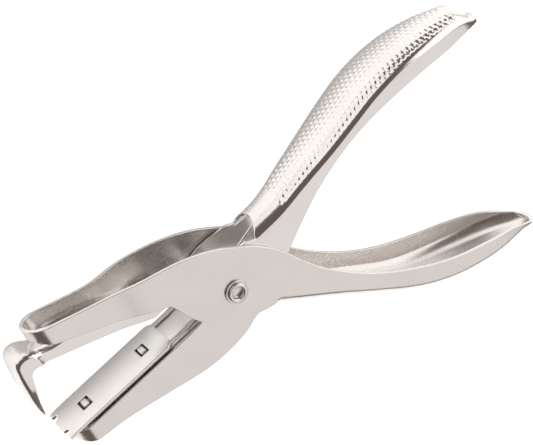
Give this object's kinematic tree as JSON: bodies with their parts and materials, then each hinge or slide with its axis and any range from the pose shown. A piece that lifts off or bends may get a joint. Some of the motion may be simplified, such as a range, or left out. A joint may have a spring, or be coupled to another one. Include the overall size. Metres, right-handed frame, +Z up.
{
  "type": "staple remover pliers",
  "caption": "Plier-type staple remover in plated sheet steel: a pointed claw on the fixed jaw and a sprung lifting plate that closes up to it.",
  "frame": {"origin": "middle of the underside of the bounding box, the tool lying on its side", "axes": "+X from the jaws to the handles, +Y from the sprung jaw's side to the claw's side, +Z up along the pivot, towards its rolled rim"},
  "size_m": [0.1688, 0.0838, 0.0218],
  "materials": {
    "satin_nickel": "satin nickel plate",
    "bright_nickel": "bright nickel plate",
    "spring_steel": "drawn spring wire, plated"
  },
  "bodies": {
    "frame": {"frame_shell": "satin_nickel", "claw": "bright_nickel", "pivot_rivet": "satin_nickel", "rivet_washer_near": "satin_nickel", "rivet_washer_far": "satin_nickel", "spacer_sleeve": "satin_nickel", "torsion_spring": "spring_steel"},
    "lever": {"lever_shell": "bright_nickel", "lug_carrier": "bright_nickel", "lift_plate": "bright_nickel"}
  },
  "joints": [
    {"name": "lever_pivot", "type": "hinge", "parent": "frame", "child": "lever", "pos_m": [-0.02035, 0.012, 0.01091], "axis": [0, 0, -1], "range_deg": [0, 21], "stiffness_Nm_per_rad": 1.5, "springref_deg": -20.05, "deforming": ["torsion_spring"]}
  ]
}
